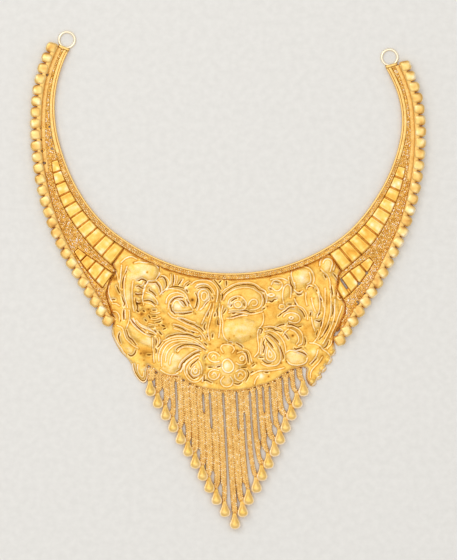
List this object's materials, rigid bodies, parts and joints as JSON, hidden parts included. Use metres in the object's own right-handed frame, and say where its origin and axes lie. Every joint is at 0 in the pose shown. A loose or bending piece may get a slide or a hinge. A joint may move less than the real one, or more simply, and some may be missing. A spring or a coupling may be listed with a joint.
{
  "type": "fringe necklace",
  "caption": "Stiff open gold collar with a raised peacock and scroll panel, box links, edge beads, end rings and a pointed fringe of fine chains with pear drops.",
  "frame": {"origin": "middle of the box round the whole necklace, on the surface that it lies on", "axes": "+X to the right of the panel as seen from the front, +Y from the fringe towards the end rings, +Z off the surface, out of the panel's face"},
  "size_m": [0.1446, 0.1818, 0.0034],
  "materials": {
    "polished_gold": "bright polished yellow gold wire with a pale sheen",
    "granulated_gold": "granulated yellow gold, rosy and cream grains on a matt ground",
    "box_gold": "satin yellow gold with bright pillowed faces",
    "bead_gold": "bright yellow gold, softly hammered",
    "panel_gold": "stamped yellow gold, bright on the raised leaves and dark orange in the recesses",
    "chain_gold": "fine yellow gold chain",
    "drop_gold": "bright yellow gold with a pale rim"
  },
  "bodies": {
    "root": {"end_ring_left": "polished_gold", "end_ring_right": "polished_gold", "neck_rim": "polished_gold", "inner_braid": "granulated_gold", "outer_braid_left": "granulated_gold", "outer_braid_right": "granulated_gold", "tile_row_left": "box_gold", "tile_row_right": "box_gold", "lower_tiles_left": "box_gold", "lower_tiles_right": "box_gold", "edge_beads_left": "bead_gold", "edge_beads_right": "bead_gold", "centre_panel": "panel_gold", "fringe_chain_01": "chain_gold", "fringe_chain_02": "chain_gold", "fringe_chain_03": "chain_gold", "fringe_chain_04": "chain_gold", "fringe_chain_05": "chain_gold", "fringe_chain_06": "chain_gold", "fringe_chain_07": "chain_gold", "fringe_chain_08": "chain_gold", "fringe_chain_09": "chain_gold", "fringe_chain_10": "chain_gold", "fringe_chain_11": "chain_gold", "fringe_chain_12": "chain_gold", "fringe_chain_13": "chain_gold", "fringe_chain_14": "chain_gold", "fringe_chain_15": "chain_gold", "fringe_chain_16": "chain_gold", "fringe_chain_17": "chain_gold", "fringe_chain_18": "chain_gold", "fringe_chain_19": "chain_gold", "fringe_chain_20": "chain_gold", "fringe_chain_21": "chain_gold", "fringe_chain_22": "chain_gold", "fringe_chain_23": "chain_gold", "fringe_drop_01": "drop_gold", "fringe_drop_02": "drop_gold", "fringe_drop_03": "drop_gold", "fringe_drop_04": "drop_gold", "fringe_drop_05": "drop_gold", "fringe_drop_06": "drop_gold", "fringe_drop_07": "drop_gold", "fringe_drop_08": "drop_gold", "fringe_drop_09": "drop_gold", "fringe_drop_10": "drop_gold", "fringe_drop_11": "drop_gold", "fringe_drop_12": "drop_gold", "fringe_drop_13": "drop_gold", "fringe_drop_14": "drop_gold", "fringe_drop_15": "drop_gold", "fringe_drop_16": "drop_gold", "fringe_drop_17": "drop_gold", "fringe_drop_18": "drop_gold", "fringe_drop_19": "drop_gold", "fringe_drop_20": "drop_gold", "fringe_drop_21": "drop_gold", "fringe_drop_22": "drop_gold", "fringe_drop_23": "drop_gold"}
  },
  "joints": []
}
